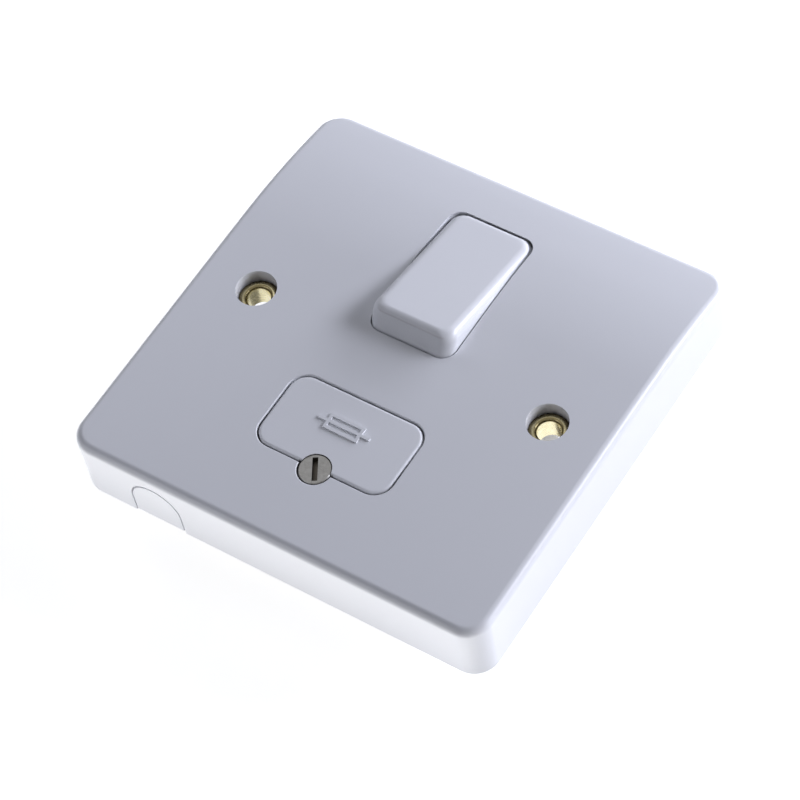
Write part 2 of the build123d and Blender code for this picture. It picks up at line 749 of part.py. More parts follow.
def fuse_cap(side):
    """Plated brass cap pressed over one end of the fuse."""
    outer_end = side * fuse_length / 2
    inner_end = side * (fuse_length / 2 - fuse_cap_length)
    pocket_end = side * (fuse_length / 2 - fuse_cap_wall)
    cap = cross_rod(*sorted((inner_end, outer_end)), carrier_y, fuse_z, fuse_radius)
    rim = cap.edges().filter_by(GeomType.CIRCLE).sort_by(Axis.X)[-1 if side > 0 else 0]
    cap = fillet(rim, fuse_cap_wall)
    return cap - cross_rod(*sorted((inner_end, pocket_end)), carrier_y, fuse_z, fuse_radius - fuse_cap_wall)


def rear_base():
    """Phenolic tub with screw ears, wire windows, a raised fuse box, rocker posts and a pole barrier."""
    tub = block(-base_outer_x, base_outer_x, base_outer_low, base_outer_top, base_bottom, base_rim)
    tub = fillet(tub.edges().filter_by(Axis.Z), base_corner_radius)
    tub = fillet(tub.edges().group_by(Axis.Z)[0], base_wall / 3)
    tub -= block(-base_inner_x, base_inner_x, base_inner_low, base_inner_top, floor_z, base_rim)
    for side in (-1, 1):
        for y in (-base_screw_y, base_screw_y):
            ear_low = base_rim - base_ear_thickness
            x = sorted((side * base_outer_x, side * base_screw_x))
            tub += block(*x, y - base_ear_radius, y + base_ear_radius, ear_low, base_rim)
            tub += rod(side * base_screw_x, y, ear_low, base_rim, base_ear_radius)
            tub -= rod(side * base_screw_x, y, ear_low, base_rim, base_screw_radius + slide_clearance)

    low_y = carrier_y - box_half_y
    high_y = carrier_y + box_half_y
    tub += block(-box_half_x, box_half_x, low_y, high_y, floor_z, box_top)
    tub += rod(0, carrier_low_y, shelf_z - shelf_thickness, insert_top, screw_boss_radius)
    well_y = (carrier_y - well_half_y, carrier_y + well_half_y)
    well = block(-well_half_x, well_half_x, *well_y, shelf_z, box_top)
    tub -= well - rod(0, carrier_low_y, shelf_z, insert_top, screw_boss_radius)
    tub -= rod(0, carrier_low_y, insert_top, box_top, screw_boss_radius)
    tub -= rod(0, carrier_low_y, insert_top - insert_length, insert_top, insert_radius + fit_clearance)
    tunnel = well_half_x - base_rib
    tub -= block(-tunnel, tunnel, low_y, high_y, floor_z, shelf_z - shelf_thickness)
    slot_top = shelf_strip_top + slide_clearance
    clip_half = clip_width / 2 + slide_clearance
    tub -= block(clip_x - clip_half, clip_x + clip_half, carrier_y + well_half_y, high_y, shelf_z, slot_top)
    strip_half = clip_half_gap + slide_clearance
    tub -= block(-box_half_x, -well_half_x, carrier_y - strip_half, carrier_y + strip_half, shelf_z, slot_top)

    rib_x = box_half_x - base_rib
    rib_low = strip_top + slide_clearance
    for side in (-1, 1):
        rib = sorted((side * rib_x, side * box_half_x))
        tub += block(*rib, base_inner_low, low_y, rib_low, base_rim)
        tub += block(*rib, shut_y + button_radius + 2 * terminal_overlap, base_inner_top, floor_z, base_rim)
        window = wire_window / 2
        x = side * terminal_x
        for wall in ((base_inner_top, base_outer_top), (base_outer_low, base_inner_low)):
            tub -= block(x - window, x + window, *wall, terminal_bore_z - window, terminal_bore_z + window)
        for y in (terminal_low_y, terminal_top_y):
            tub -= rod(x, y, base_bottom, floor_z, terminal_head_radius + slide_clearance)
        post_inner = rocker_opening_width / 2
        post = sorted((side * post_inner, side * (post_inner + ear_thickness)))
        post_half = bearing_radius - seat_clearance
        post_top = pivot_z - trunnion_radius - fit_clearance
        tub += block(*post, pivot_y - post_half, pivot_y + post_half, floor_z, post_top)
    tub += block(-barrier_thickness / 2, barrier_thickness / 2, high_y, base_inner_top, floor_z, base_rim)
    pad_x = (-terminal_x - terminal_width / 2, -terminal_x + terminal_width / 2)
    pad_y = (terminal_low_y - terminal_length / 2, terminal_low_y + terminal_length / 2)
    tub += block(*pad_x, *pad_y, floor_z, strip_top)
    tub -= rod(-terminal_x, terminal_low_y, floor_z, strip_top, terminal_screw_radius + slide_clearance)

    window = wire_window / 2
    window_z = (earth_bore_z - window, earth_bore_z + window)
    for y in (-earth_bore_y, earth_bore_y):
        tub -= block(base_inner_x, base_outer_x, y - window, y + window, *window_z)
        tub -= rod(terminal_x, y, base_bottom, floor_z, terminal_head_radius + slide_clearance)
    return tub


def base_screws():
    """Four self-tapping screws from behind, through the base ears into the plate bosses."""
    screws = Part()
    seat = base_rim - base_ear_thickness
    sizes = (base_screw_radius, base_screw_length, base_screw_head_radius, base_screw_head_height)
    for x in (-base_screw_x, base_screw_x):
        for y in (-base_screw_y, base_screw_y):
            screws += pan_screw(x, y, seat, *sizes)
    return screws


def cord_clamp_bar():
    """Moulded bar that clamps a flexible cord behind the knock-out, ribbed on its gripping side."""
    outline = Pos(knockout_x, clamp_y, clamp_low) * SlotOverall(clamp_length, clamp_width)
    bar = extrude(outline, clamp_thickness)
    for side in (-1, 1):
        x = knockout_x + side * clamp_screw_spacing / 2
        bar -= rod(x, clamp_y, clamp_low, clamp_top, base_screw_radius + slide_clearance)
    grip_x = (knockout_x - knockout_radius / 2, knockout_x + knockout_radius / 2)
    for step in (-1, 0, 1):
        bar += cross_rod(*grip_x, clamp_y + step * clamp_width / 4, clamp_top, clamp_thickness / 4)
    return bar


def cord_clamp_screws():
    """Two self-tapping screws that pull the clamp bar down on its bosses."""
    screws = Part()
    length = base_screw_length - seat_clearance
    sizes = (base_screw_radius, length, clamp_width / 2, base_screw_head_height)
    for side in (-1, 1):
        screws += pan_screw(knockout_x + side * clamp_screw_spacing / 2, clamp_y, clamp_low, *sizes)
    return screws


nodes = {
    "front_plate": front_plate(),
    "rear_base": rear_base(),
    "base_screws": base_screws(),
    "fixing_eyelet_left": eyelet(-1),
    "fixing_eyelet_right": eyelet(1),
    "earth_strap": earth_strap(),
    "earth_terminal": earth_terminal(),
    "line_supply_terminal": terminal(terminal_x, terminal_top_y, 1),
    "neutral_supply_terminal": terminal(-terminal_x, terminal_top_y, 1),
    "line_load_terminal": terminal(-terminal_x, terminal_low_y, -1),
    "neutral_load_terminal": terminal(terminal_x, terminal_low_y, -1),
    "terminal_screws": terminal_screws(),
    "line_fixed_contact": fixed_contact(1),
    "neutral_fixed_contact": fixed_contact(-1),
    "line_fixed_button": button(pole_x, shut_y, strip_top),
    "neutral_fixed_button": button(-pole_x, shut_y, strip_top),
    "line_pivot_strip": line_pivot_strip(),
    "neutral_pivot_strip": neutral_pivot_strip(),
    "line_moving_contact": moving_contact(pole_x),
    "neutral_moving_contact": moving_contact(-pole_x),
    "line_moving_button": moving_button(pole_x),
    "neutral_moving_button": moving_button(-pole_x),
    "rocker": rocker(),
    "line_plunger": plunger(pole_x),
    "neutral_plunger": plunger(-pole_x),
    "line_spring": spring(pole_x),
    "neutral_spring": spring(-pole_x),
    "supply_fuse_clip": fuse_clip(clip_x),
    "load_fuse_clip": fuse_clip(-clip_x),
    "load_strip": load_strip(),
    "fuse_barrel": fuse_barrel(),
    "supply_fuse_cap": fuse_cap(1),
    "load_fuse_cap": fuse_cap(-1),
    "fuse_carrier": fuse_carrier(),
    "carrier_screw": carrier_screw(),
    "carrier_insert": carrier_insert(),
    "cord_clamp_bar": cord_clamp_bar(),
    "cord_clamp_screws": cord_clamp_screws(),
}

os.makedirs("parts", exist_ok=True)
for name, shape in nodes.items():
    export_step(shape, f"parts/{name}.step")
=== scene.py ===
from math import radians

import bmesh
import bpy
from mathutils import Matrix, Vector


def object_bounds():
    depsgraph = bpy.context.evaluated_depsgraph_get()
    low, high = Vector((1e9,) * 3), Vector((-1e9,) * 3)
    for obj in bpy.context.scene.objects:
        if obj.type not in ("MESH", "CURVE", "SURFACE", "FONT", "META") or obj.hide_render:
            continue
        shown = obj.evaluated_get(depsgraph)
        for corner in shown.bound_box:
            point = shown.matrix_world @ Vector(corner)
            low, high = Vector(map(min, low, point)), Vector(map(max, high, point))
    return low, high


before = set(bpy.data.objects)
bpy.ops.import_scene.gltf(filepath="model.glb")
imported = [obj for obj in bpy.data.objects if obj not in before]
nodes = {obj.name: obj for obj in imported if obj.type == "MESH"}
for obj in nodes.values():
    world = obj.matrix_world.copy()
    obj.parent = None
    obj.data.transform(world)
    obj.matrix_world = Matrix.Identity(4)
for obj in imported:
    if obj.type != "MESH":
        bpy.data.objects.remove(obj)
cad_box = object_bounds()


# Rear base: one compression moulding in off-white phenolic, with pockets for the terminals, the fuse box
# and the posts under the rocker. The cord clamp bar is moulded in the same compound. Four screws hold the
# base to the plate from behind.


def linear(hex_colour):
    """An sRGB hex colour as linear red, green, blue and alpha."""
    channels = [int(hex_colour[i:i + 2], 16) / 255 for i in (0, 2, 4)]
    return [c / 12.92 if c <= 0.04045 else ((c + 0.055) / 1.055) ** 2.4 for c in channels] + [1.0]


def add(tree, kind, inputs, **settings):
    """Adds a node: settings are its properties, inputs its sockets' values or the sockets linked to them."""
    node = tree.nodes.new(kind)
    for name, value in settings.items():
        setattr(node, name, value)
    for socket, value in inputs.items():
        if isinstance(value, bpy.types.NodeSocket):
            tree.links.new(value, node.inputs[socket])
        else:
            node.inputs[socket].default_value = value
    return node


def blank(name):
    """A new material with an empty node tree, and that tree."""
    material = bpy.data.materials.new(name)
    material.use_nodes = True
    material.node_tree.nodes.clear()
    return material, material.node_tree


def dress(material, *names):
    """Puts a finish on CAD pieces and shades their round faces smoothly up to each real edge."""
    for name in names:
        mesh = nodes[name].data
        mesh.materials.clear()
        mesh.materials.append(material)
        mesh.polygons.foreach_set("use_smooth", [True] * len(mesh.polygons))
        weld = nodes[name].modifiers.new("weld", "WELD")
        weld.merge_threshold = 1e-6
        edges = nodes[name].modifiers.new("edges", "EDGE_SPLIT")
        edges.split_angle = radians(28)
        edges.use_edge_sharp = False
        normals = nodes[name].modifiers.new("normals", "WEIGHTED_NORMAL")
        normals.mode = "FACE_AREA"


# Phenolic compound: a satin skin with a faint cloudy mottle where the powder flowed, and a fine grain.
phenolic, tree = blank("off_white_phenolic_moulded")
place = add(tree, "ShaderNodeTexCoord", {}).outputs["Object"]
flow = add(tree, "ShaderNodeTexNoise", {"Vector": place, "Scale": 1000 / 6, "Detail": 5.0, "Distortion": 0.6})
tint = add(tree, "ShaderNodeMix", {
    0: flow.outputs[0],
    6: linear("c9c6bb"),
    7: linear("d8d6ce"),
}, data_type="RGBA")
grain = add(tree, "ShaderNodeTexNoise", {"Vector": place, "Scale": 1000 / 0.3, "Detail": 3.0})
sheen = add(tree, "ShaderNodeMapRange", {"Value": grain.outputs[0], "To Min": 0.36, "To Max": 0.56})
skin = add(tree, "ShaderNodeBump", {"Height": grain.outputs[0], "Strength": 0.3, "Distance": 0.00003})
shader = add(tree, "ShaderNodeBsdfPrincipled", {
    "Base Color": tint.outputs[2],
    "Roughness": sheen.outputs[0],
    "Normal": skin.outputs[0],
    "IOR": 1.55,
})
add(tree, "ShaderNodeOutputMaterial", {"Surface": shader.outputs[0]})
dress(phenolic, "rear_base", "cord_clamp_bar")

# Zinc-plated steel: a cold silver with a crystal bloom of cells about a millimetre wide.
zinc, tree = blank("zinc_plated_steel_passivated")
place = add(tree, "ShaderNodeTexCoord", {}).outputs["Object"]
bloom = add(tree, "ShaderNodeTexVoronoi", {"Vector": place, "Scale": 1000 / 0.9, "Randomness": 1.0})
film = add(tree, "ShaderNodeTexNoise", {"Vector": place, "Scale": 1000 / 1.5, "Detail": 4.0})
tint = add(tree, "ShaderNodeMix", {
    0: film.outputs[0],
    6: linear("9fa3a6"),
    7: linear("c6c5bb"),
}, data_type="RGBA")
sheen = add(tree, "ShaderNodeMapRange", {"Value": bloom.outputs["Distance"], "To Min": 0.26, "To Max": 0.46})
shader = add(tree, "ShaderNodeBsdfPrincipled", {
    "Base Color": tint.outputs[2],
    "Metallic": 1.0,
    "Roughness": sheen.outputs[0],
})
add(tree, "ShaderNodeOutputMaterial", {"Surface": shader.outputs[0]})
dress(zinc, "base_screws", "cord_clamp_screws")


# Terminals and strips: brass pillar blocks cut from drawn bar, and flat brass strips pressed from rolled
# sheet, which lie on the base floor and on the shelf of the fuse box.

# Rolled brass strip: long fine lines from the rolls, and soft brown patches where hands have been.
strip_brass, tree = blank("brass_strip_rolled")
place = add(tree, "ShaderNodeTexCoord", {}).outputs["Object"]
along = add(tree, "ShaderNodeMapping", {"Vector": place, "Scale": (1000 / 0.25, 1000 / 12, 1000 / 0.25)})
lines = add(tree, "ShaderNodeTexNoise", {"Vector": along.outputs[0], "Scale": 1.0, "Detail": 2.0})
hands = add(tree, "ShaderNodeTexNoise", {"Vector": place, "Scale": 1000 / 7, "Detail": 5.0})
tint = add(tree, "ShaderNodeMix", {
    0: hands.outputs[0],
    6: linear("a8803a"),
    7: linear("d9b465"),
}, data_type="RGBA")
sheen = add(tree, "ShaderNodeMapRange", {"Value": lines.outputs[0], "To Min": 0.2, "To Max": 0.44})
score = add(tree, "ShaderNodeBump", {"Height": lines.outputs[0], "Strength": 0.25, "Distance": 0.00002})
shader = add(tree, "ShaderNodeBsdfPrincipled", {
    "Base Color": tint.outputs[2],
    "Metallic": 1.0,
    "Roughness": sheen.outputs[0],
    "Normal": score.outputs[0],
})
add(tree, "ShaderNodeOutputMaterial", {"Surface": shader.outputs[0]})
dress(strip_brass, "line_fixed_contact", "neutral_fixed_contact", "line_pivot_strip", "neutral_pivot_strip")
dress(strip_brass, "load_strip", "earth_strap")

# Drawn brass bar: brighter than the strip, with saw and drill marks across the blocks.
bar_brass, tree = blank("brass_bar_drawn")
place = add(tree, "ShaderNodeTexCoord", {}).outputs["Object"]
across = add(tree, "ShaderNodeMapping", {"Vector": place, "Scale": (1000 / 6, 1000 / 0.2, 1000 / 6)})
marks = add(tree, "ShaderNodeTexNoise", {"Vector": across.outputs[0], "Scale": 1.0, "Detail": 3.0})
hands = add(tree, "ShaderNodeTexNoise", {"Vector": place, "Scale": 1000 / 3, "Detail": 4.0})
tint = add(tree, "ShaderNodeMix", {
    0: hands.outputs[0],
    6: linear("b98f45"),
    7: linear("dcb96c"),
}, data_type="RGBA")
sheen = add(tree, "ShaderNodeMapRange", {"Value": marks.outputs[0], "To Min": 0.18, "To Max": 0.4})
score = add(tree, "ShaderNodeBump", {"Height": marks.outputs[0], "Strength": 0.3, "Distance": 0.00002})
shader = add(tree, "ShaderNodeBsdfPrincipled", {
    "Base Color": tint.outputs[2],
    "Metallic": 1.0,
    "Roughness": sheen.outputs[0],
    "Normal": score.outputs[0],
})
add(tree, "ShaderNodeOutputMaterial", {"Surface": shader.outputs[0]})
dress(bar_brass, "line_supply_terminal", "neutral_supply_terminal")
dress(bar_brass, "line_load_terminal", "neutral_load_terminal")
dress(bar_brass, "earth_terminal", "carrier_insert")

# Nickel plate: a warm, bright silver, a little cloudy where the plating is thin.
nickel, tree = blank("nickel_plated_brass")
place = add(tree, "ShaderNodeTexCoord", {}).outputs["Object"]
cloud = add(tree, "ShaderNodeTexNoise", {"Vector": place, "Scale": 1000 / 1.2, "Detail": 5.0})
tint = add(tree, "ShaderNodeMix", {
    0: cloud.outputs[0],
    6: linear("a7a196"),
    7: linear("cbc7bd"),
}, data_type="RGBA")
sheen = add(tree, "ShaderNodeMapRange", {"Value": cloud.outputs[0], "To Min": 0.18, "To Max": 0.34})
shader = add(tree, "ShaderNodeBsdfPrincipled", {
    "Base Color": tint.outputs[2],
    "Metallic": 1.0,
    "Roughness": sheen.outputs[0],
})
add(tree, "ShaderNodeOutputMaterial", {"Surface": shader.outputs[0]})
dress(nickel, "terminal_screws", "supply_fuse_cap", "load_fuse_cap")


# Switch: two see-saw contacts of phosphor bronze with silver buttons, flipped by nylon plungers that coil
# springs push out of the rocker's tubes.

# Phosphor bronze: a redder strip than brass, with rolled lines and a dull film.
bronze, tree = blank("phosphor_bronze_spring_strip")
place = add(tree, "ShaderNodeTexCoord", {}).outputs["Object"]
along = add(tree, "ShaderNodeMapping", {"Vector": place, "Scale": (1000 / 0.2, 1000 / 9, 1000 / 0.2)})
lines = add(tree, "ShaderNodeTexNoise", {"Vector": along.outputs[0], "Scale": 1.0, "Detail": 2.0})
film = add(tree, "ShaderNodeTexNoise", {"Vector": place, "Scale": 1000 / 4, "Detail": 4.0})
tint = add(tree, "ShaderNodeMix", {
    0: film.outputs[0],
    6: linear("96633c"),
    7: linear("c48d5b"),
}, data_type="RGBA")
sheen = add(tree, "ShaderNodeMapRange", {"Value": lines.outputs[0], "To Min": 0.22, "To Max": 0.46})
shader = add(tree, "ShaderNodeBsdfPrincipled", {
    "Base Color": tint.outputs[2],
    "Metallic": 1.0,
    "Roughness": sheen.outputs[0],
})
add(tree, "ShaderNodeOutputMaterial", {"Surface": shader.outputs[0]})
dress(bronze, "line_moving_contact", "neutral_moving_contact", "supply_fuse_clip", "load_fuse_clip")

# Contact silver: white metal with patches of grey tarnish, which shine less.
silver, tree = blank("contact_silver_headed")
place = add(tree, "ShaderNodeTexCoord", {}).outputs["Object"]
tarnish = add(tree, "ShaderNodeTexNoise", {"Vector": place, "Scale": 1000 / 0.8, "Detail": 6.0})
tint = add(tree, "ShaderNodeMix", {
    0: tarnish.outputs[0],
    6: linear("8d8982"),
    7: linear("e6e4de"),
}, data_type="RGBA")
sheen = add(tree, "ShaderNodeMapRange", {"Value": tarnish.outputs[0], "To Min": 0.42, "To Max": 0.2})
shader = add(tree, "ShaderNodeBsdfPrincipled", {
    "Base Color": tint.outputs[2],
    "Metallic": 1.0,
    "Roughness": sheen.outputs[0],
})
add(tree, "ShaderNodeOutputMaterial", {"Surface": shader.outputs[0]})
dress(silver, "line_fixed_button", "neutral_fixed_button", "line_moving_button", "neutral_moving_button")

# Natural nylon: milky and waxy, with a faint cloud in its cream colour.
nylon, tree = blank("natural_nylon_moulded")
place = add(tree, "ShaderNodeTexCoord", {}).outputs["Object"]
cloud = add(tree, "ShaderNodeTexNoise", {"Vector": place, "Scale": 1000 / 2, "Detail": 3.0})
tint = add(tree, "ShaderNodeMix", {
    0: cloud.outputs[0],
    6: linear("d3cdb9"),
    7: linear("e8e4d6"),
}, data_type="RGBA")
sheen = add(tree, "ShaderNodeMapRange", {"Value": cloud.outputs[0], "To Min": 0.38, "To Max": 0.5})
shader = add(tree, "ShaderNodeBsdfPrincipled", {
    "Base Color": tint.outputs[2],
    "Roughness": sheen.outputs[0],
    "IOR": 1.53,
})
add(tree, "ShaderNodeOutputMaterial", {"Surface": shader.outputs[0]})
dress(nylon, "line_plunger", "neutral_plunger")

# Spring wire: drawn steel, dark grey under an uneven film of oil.
spring_wire, tree = blank("spring_steel_wire_drawn")
place = add(tree, "ShaderNodeTexCoord", {}).outputs["Object"]
oil = add(tree, "ShaderNodeTexNoise", {"Vector": place, "Scale": 1000 / 0.6, "Detail": 3.0})
tint = add(tree, "ShaderNodeMix", {
    0: oil.outputs[0],
    6: linear("6f7174"),
    7: linear("a3a5a8"),
}, data_type="RGBA")
sheen = add(tree, "ShaderNodeMapRange", {"Value": oil.outputs[0], "To Min": 0.24, "To Max": 0.42})
shader = add(tree, "ShaderNodeBsdfPrincipled", {
    "Base Color": tint.outputs[2],
    "Metallic": 1.0,
    "Roughness": sheen.outputs[0],
})
add(tree, "ShaderNodeOutputMaterial", {"Surface": shader.outputs[0]})
dress(spring_wire, "line_spring", "neutral_spring")


# Fuse: a ceramic tube between two nickelled caps, held by the carrier's cradle and gripped by two bronze
# clips on the shelf of the base.

# Fired ceramic: an ivory body with a thin glaze and a few dark specks.
ceramic, tree = blank("fired_ceramic_glazed")
place = add(tree, "ShaderNodeTexCoord", {}).outputs["Object"]
specks = add(tree, "ShaderNodeTexNoise", {"Vector": place, "Scale": 1000 / 0.35, "Detail": 2.0})
spots = add(tree, "ShaderNodeMapRange", {"Value": specks.outputs[0], "From Min": 0.7, "From Max": 0.78})
tint = add(tree, "ShaderNodeMix", {
    0: spots.outputs[0],
    6: linear("e6e0d1"),
    7: linear("8f8674"),
}, data_type="RGBA")
wave = add(tree, "ShaderNodeTexNoise", {"Vector": place, "Scale": 1000 / 1.5, "Detail": 2.0})
sheen = add(tree, "ShaderNodeMapRange", {"Value": wave.outputs[0], "To Min": 0.16, "To Max": 0.3})
skin = add(tree, "ShaderNodeBump", {"Height": wave.outputs[0], "Strength": 0.2, "Distance": 0.00005})
shader = add(tree, "ShaderNodeBsdfPrincipled", {
    "Base Color": tint.outputs[2],
    "Roughness": sheen.outputs[0],
    "Normal": skin.outputs[0],
    "IOR": 1.52,
})
add(tree, "ShaderNodeOutputMaterial", {"Surface": shader.outputs[0]})
dress(ceramic, "fuse_barrel")


# Front plate: one compression moulding in white urea, hollow behind, with a polished face that falls away
# towards its top edge. The cord knock-out shows as a fine groove in its lower wall.

# White urea: a hard, glossy white with a trace of flow cloud, a fine ripple from the mould's polish and faint
# rubbed patches, so its shine is never quite even. Painted shade darkens the two fixing recesses low down, on
# the side towards the plate's upper right, and a dark ring of painted shade lines the notch for the carrier's
# screw.
face_height = 0.0134
fixing_x = 0.03015
recess_radius = 0.00385
recess_floor = 0.0101
shade_side = (0.84, 0.54, 0)
shade_start = -0.75 * recess_radius
shade_full = 0.1 * recess_radius
recess_shade = 0.55
screw_y = -0.02655
notch_radius = 0.0035
ring_top = face_height - 0.00003
ring_top_fade = 0.00017
ring_low = face_height - 0.0013
ring_low_fade = 0.0004
ring_shade_strength = 0.8
white, tree = blank("white_urea_moulded_polished")
place = add(tree, "ShaderNodeTexCoord", {}).outputs["Object"]
cloud = add(tree, "ShaderNodeTexNoise", {
    "Vector": place,
    "Scale": 1000 / 16,
    "Detail": 4.0,
    "Distortion": 0.8,
})
tint = add(tree, "ShaderNodeMix", {
    0: cloud.outputs[0],
    6: linear("e5e6e9"),
    7: linear("e7e8eb"),
}, data_type="RGBA")
tint.name = "tint"
axes = add(tree, "ShaderNodeSeparateXYZ", {"Vector": place})
# Painted shade in the fixing recesses: brownish grey, deepest at their floor and on the upper right walls,
# which the light from the right does not reach.
both = add(tree, "ShaderNodeMath", {0: axes.outputs["X"], 1: 2 * fixing_x, 2: 0.0}, operation="WRAP")
spot = add(tree, "ShaderNodeCombineXYZ", {"X": both.outputs[0], "Y": axes.outputs["Y"]})
offset = add(tree, "ShaderNodeVectorMath", {0: spot.outputs[0], 1: (fixing_x, 0, 0)}, operation="SUBTRACT")
reach = add(tree, "ShaderNodeVectorMath", {0: offset.outputs[0]}, operation="LENGTH")
within = add(tree, "ShaderNodeMath", {0: reach.outputs["Value"], 1: recess_radius}, operation="LESS_THAN")
facing = add(tree, "ShaderNodeVectorMath", {0: offset.outputs[0], 1: shade_side}, operation="DOT_PRODUCT")
shaded_side = add(tree, "ShaderNodeMapRange", {
    "Value": facing.outputs["Value"],
    "From Min": shade_start,
    "From Max": shade_full,
})
low = add(tree, "ShaderNodeMapRange", {
    "Value": axes.outputs["Z"],
    "From Min": recess_floor,
    "From Max": face_height,
    "To Min": recess_shade,
    "To Max": 0.0,
})
there = add(tree, "ShaderNodeMath", {0: within.outputs[0], 1: shaded_side.outputs[0]}, operation="MULTIPLY")
painted_shade_amount = add(tree, "ShaderNodeMath", {0: there.outputs[0], 1: low.outputs[0]}, operation="MULTIPLY")
with_painted_shade = add(tree, "ShaderNodeMix", {
    0: painted_shade_amount.outputs[0],
    6: tint.outputs[2],
    7: linear("6e645a"),
}, data_type="RGBA")
# Painted shade: a dark ring on the notch's wall round the carrier's screw, in the gap where shade falls.
flat = add(tree, "ShaderNodeCombineXYZ", {"X": axes.outputs["X"], "Y": axes.outputs["Y"]})
from_screw = add(tree, "ShaderNodeVectorMath", {0: flat.outputs[0], 1: (0, screw_y, 0)}, operation="DISTANCE")
in_notch = add(tree, "ShaderNodeMath", {
    0: from_screw.outputs["Value"],
    1: notch_radius,
}, operation="LESS_THAN")
under = add(tree, "ShaderNodeMapRange", {
    "Value": axes.outputs["Z"],
    "From Min": ring_top - ring_top_fade,
    "From Max": ring_top,
    "To Min": ring_shade_strength,
    "To Max": 0.0,
})
above = add(tree, "ShaderNodeMapRange", {
    "Value": axes.outputs["Z"],
    "From Min": ring_low,
    "From Max": ring_low + ring_low_fade,
})
band = add(tree, "ShaderNodeMath", {0: under.outputs[0], 1: above.outputs[0]}, operation="MULTIPLY")
painted_ring = add(tree, "ShaderNodeMath", {0: band.outputs[0], 1: in_notch.outputs[0]}, operation="MULTIPLY")
ring_shaded = add(tree, "ShaderNodeMix", {
    0: painted_ring.outputs[0],
    6: with_painted_shade.outputs[2],
    7: linear("3b3936"),
}, data_type="RGBA")
rubbed = add(tree, "ShaderNodeTexNoise", {"Vector": place, "Scale": 1000 / 9, "Detail": 2.0})
sheen = add(tree, "ShaderNodeMapRange", {"Value": rubbed.outputs[0], "To Min": 0.28, "To Max": 0.32})
sheen.name = "sheen"
ripple = add(tree, "ShaderNodeTexNoise", {"Vector": place, "Scale": 1000 / 0.7, "Detail": 2.0})
skin = add(tree, "ShaderNodeBump", {"Height": ripple.outputs[0], "Strength": 0.12, "Distance": 0.00003})
skin.name = "skin"
shader = add(tree, "ShaderNodeBsdfPrincipled", {
    "Base Color": ring_shaded.outputs[2],
    "Roughness": sheen.outputs[0],
    "Normal": skin.outputs[0],
    "IOR": 1.5,
})
shader.name = "shader"
add(tree, "ShaderNodeOutputMaterial", {"Surface": shader.outputs[0]})
dress(white, "front_plate")


# Fixing eyelets: short pressed brass liners of the two fixing holes, with a domed lip in the recess and a
# foot rolled over behind the plate.

# Pressed brass: olive brown with tarnish on the lip's slopes. The bore is painted pale and bright, a painted
# reflection of the white card below, and a pale ring along the lip's crest is a painted highlight.
lip_z = 0.0103
lip_fade = 0.0001
crest_low = 0.01091
crest_top = 0.01094
crest_highlight = 0.25
eyelet_brass, tree = blank("brass_eyelet_pressed")
place = add(tree, "ShaderNodeTexCoord", {}).outputs["Object"]
patina = add(tree, "ShaderNodeTexNoise", {"Vector": place, "Scale": 1000 / 0.9, "Detail": 6.0})
tarnish = add(tree, "ShaderNodeMix", {
    0: patina.outputs[0],
    6: linear("5a5136"),
    7: linear("82785a"),
}, data_type="RGBA")
# Painted reflection: the pale colour given to the bore, and to the crest's painted highlight.
painted_shine = add(tree, "ShaderNodeMix", {
    0: patina.outputs[0],
    6: linear("e0d6a8"),
    7: linear("f2ebc9"),
}, data_type="RGBA")
height = add(tree, "ShaderNodeSeparateXYZ", {"Vector": place})
rise = add(tree, "ShaderNodeMapRange", {
    "Value": height.outputs["Z"],
    "From Min": lip_z - lip_fade,
    "From Max": lip_z + lip_fade,
})
# Painted highlight: a pale ring along the lip's crest.
crest = add(tree, "ShaderNodeMapRange", {
    "Value": height.outputs["Z"],
    "From Min": crest_low,
    "From Max": crest_top,
    "To Max": crest_highlight,
})
crest_highlighted = add(tree, "ShaderNodeMix", {
    0: crest.outputs[0],
    6: tarnish.outputs[2],
    7: painted_shine.outputs[2],
}, data_type="RGBA")
# Below the lip the bore takes the painted reflection's pale colour.
tint = add(tree, "ShaderNodeMix", {
    0: rise.outputs[0],
    6: painted_shine.outputs[2],
    7: crest_highlighted.outputs[2],
}, data_type="RGBA")
sheen = add(tree, "ShaderNodeMapRange", {"Value": patina.outputs[0], "To Min": 0.34, "To Max": 0.2})
mottle = add(tree, "ShaderNodeTexNoise", {"Vector": place, "Scale": 1000 / 0.4, "Detail": 3.0})
skin = add(tree, "ShaderNodeBump", {"Height": mottle.outputs[0], "Strength": 0.4, "Distance": 0.00004})
shader = add(tree, "ShaderNodeBsdfPrincipled", {
    "Base Color": tint.outputs[2],
    "Metallic": 1.0,
    "Roughness": sheen.outputs[0],
    "Normal": skin.outputs[0],
})
add(tree, "ShaderNodeOutputMaterial", {"Surface": shader.outputs[0]})
dress(eyelet_brass, "fixing_eyelet_left", "fixing_eyelet_right")


# Rocker: a hollow moulding in the plate's white compound, a little glossier from handling. It swings on two
# trunnions in the plate's bearings.
rocker_white = white.copy()
rocker_white.name = "white_urea_rocker_handled"
tree = rocker_white.node_tree
tree.nodes["sheen"].inputs["To Min"].default_value = 0.278
tree.nodes["sheen"].inputs["To Max"].default_value = 0.3

